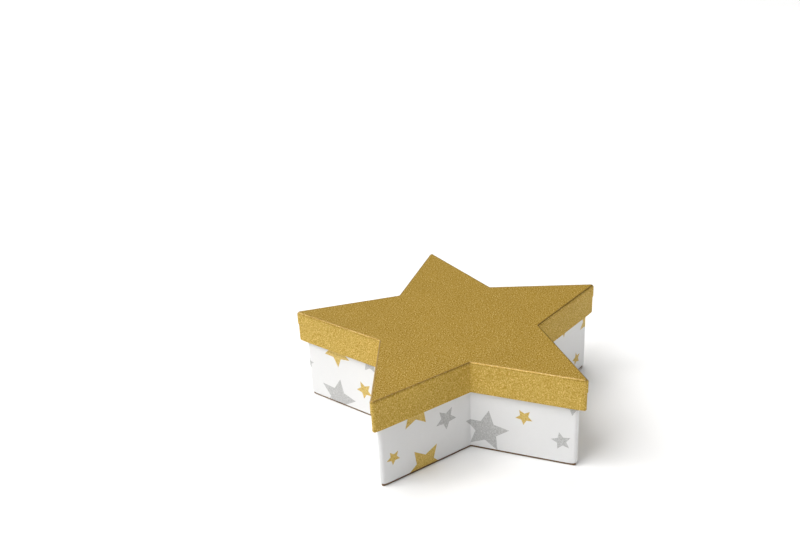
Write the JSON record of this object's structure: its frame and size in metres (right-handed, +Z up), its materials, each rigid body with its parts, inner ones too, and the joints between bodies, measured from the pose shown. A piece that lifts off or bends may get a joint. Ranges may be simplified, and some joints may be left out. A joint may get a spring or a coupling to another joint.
{
  "type": "star gift box",
  "caption": "Rigid star-shaped gift box with a lift-off lid wrapped in gold shimmer paper and a white base wrapped in a scattered gold and silver star print.",
  "frame": {"origin": "centre of the star on the underside of the base", "axes": "+Z up, along the lid's lift; +Y towards one point of the star"},
  "size_m": [0.1752, 0.1669, 0.0544],
  "materials": {
    "gold_paper": "metallic shimmer paper, fine grain",
    "print_paper": "smooth white paper printed with gold and silver stars",
    "brown_card": "plain brown card, matt",
    "board": "greyboard with a white inner face"
  },
  "bodies": {
    "base": {"base_floor_board": "board", "base_wall_board": "board", "base_side_strip": "print_paper", "base_bottom_sheet": "brown_card"},
    "lid": {"lid_top_board": "board", "lid_wall_board": "board", "lid_top_sheet": "gold_paper", "lid_side_strip": "gold_paper"}
  },
  "joints": [
    {"name": "lid_lift", "type": "slide", "parent": "base", "child": "lid", "axis": [0, 0, 1], "range_m": [0, 0.06]}
  ]
}
